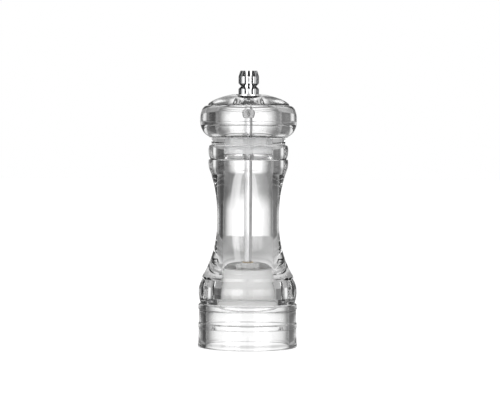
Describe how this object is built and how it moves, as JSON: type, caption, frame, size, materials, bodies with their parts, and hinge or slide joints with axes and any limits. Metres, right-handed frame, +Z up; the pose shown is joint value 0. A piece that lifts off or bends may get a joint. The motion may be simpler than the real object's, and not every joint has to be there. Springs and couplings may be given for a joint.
{
  "type": "pepper mill",
  "caption": "Waisted clear acrylic pepper mill with a lift-off turning head, a chrome adjusting knob, a square spindle and a sprung ceramic grinder in an open skirt.",
  "frame": {"origin": "centre of the foot ring, on the table", "axes": "+Z up along the spindle; the flange screws lie along X and the front faces -Y"},
  "size_m": [0.0578, 0.0578, 0.1604],
  "materials": {
    "clear_acrylic": "clear polished acrylic",
    "frosted_silicone": "translucent frosted silicone",
    "aluminium": "turned",
    "chrome": "polished plating",
    "nylon": "natural nylon",
    "bright_steel": "drawn bar, satin",
    "spring_steel": "coiled wire",
    "dark_steel": "blackened",
    "white_plastic": "moulded, slightly translucent",
    "brass": "turned",
    "ceramic": "unglazed white ceramic"
  },
  "bodies": {
    "mill_body": {"body": "clear_acrylic", "grinder_housing": "white_plastic", "guide_bush": "brass", "outer_burr": "ceramic", "burr_retaining_ring": "nylon", "flange_screws": "dark_steel"},
    "spring_set": {"upper_spring_washer": "bright_steel", "burr_spring": "spring_steel"},
    "spindle_set": {"spindle": "bright_steel", "inner_burr": "ceramic", "burr_washer": "bright_steel", "burr_nut": "bright_steel", "lower_spring_washer": "bright_steel"},
    "turning_head": {"head_base": "clear_acrylic", "head_cap": "clear_acrylic", "head_sleeve": "frosted_silicone", "drive_bush": "aluminium"},
    "knob_seat": {"knob_washer": "nylon"},
    "knob": {"adjusting_knob": "chrome"}
  },
  "joints": [
    {"name": "head_turn", "type": "hinge", "parent": "mill_body", "child": "spring_set", "pos_m": [0, 0, 0.0393], "axis": [0, 0, 1], "continuous": true},
    {"name": "grind_adjust", "type": "slide", "parent": "spring_set", "child": "spindle_set", "axis": [0, 0, 1], "range_m": [0, 0.0016], "deforming": ["burr_spring"]},
    {"name": "head_lift", "type": "slide", "parent": "spring_set", "child": "turning_head", "axis": [0, 0, 1], "range_m": [0, 0.06]},
    {"name": "knob_lift", "type": "slide", "parent": "turning_head", "child": "knob_seat", "axis": [0, 0, 1], "range_m": [0, 0.015]},
    {"name": "knob_turn", "type": "hinge", "parent": "knob_seat", "child": "knob", "pos_m": [0, 0, 0.1415], "axis": [0, 0, 1], "range_deg": [-863.9, 0]}
  ],
  "couplings": [
    {"joint": "grind_adjust", "follows": "knob_turn", "m_per_rad": -0.000079577}
  ]
}
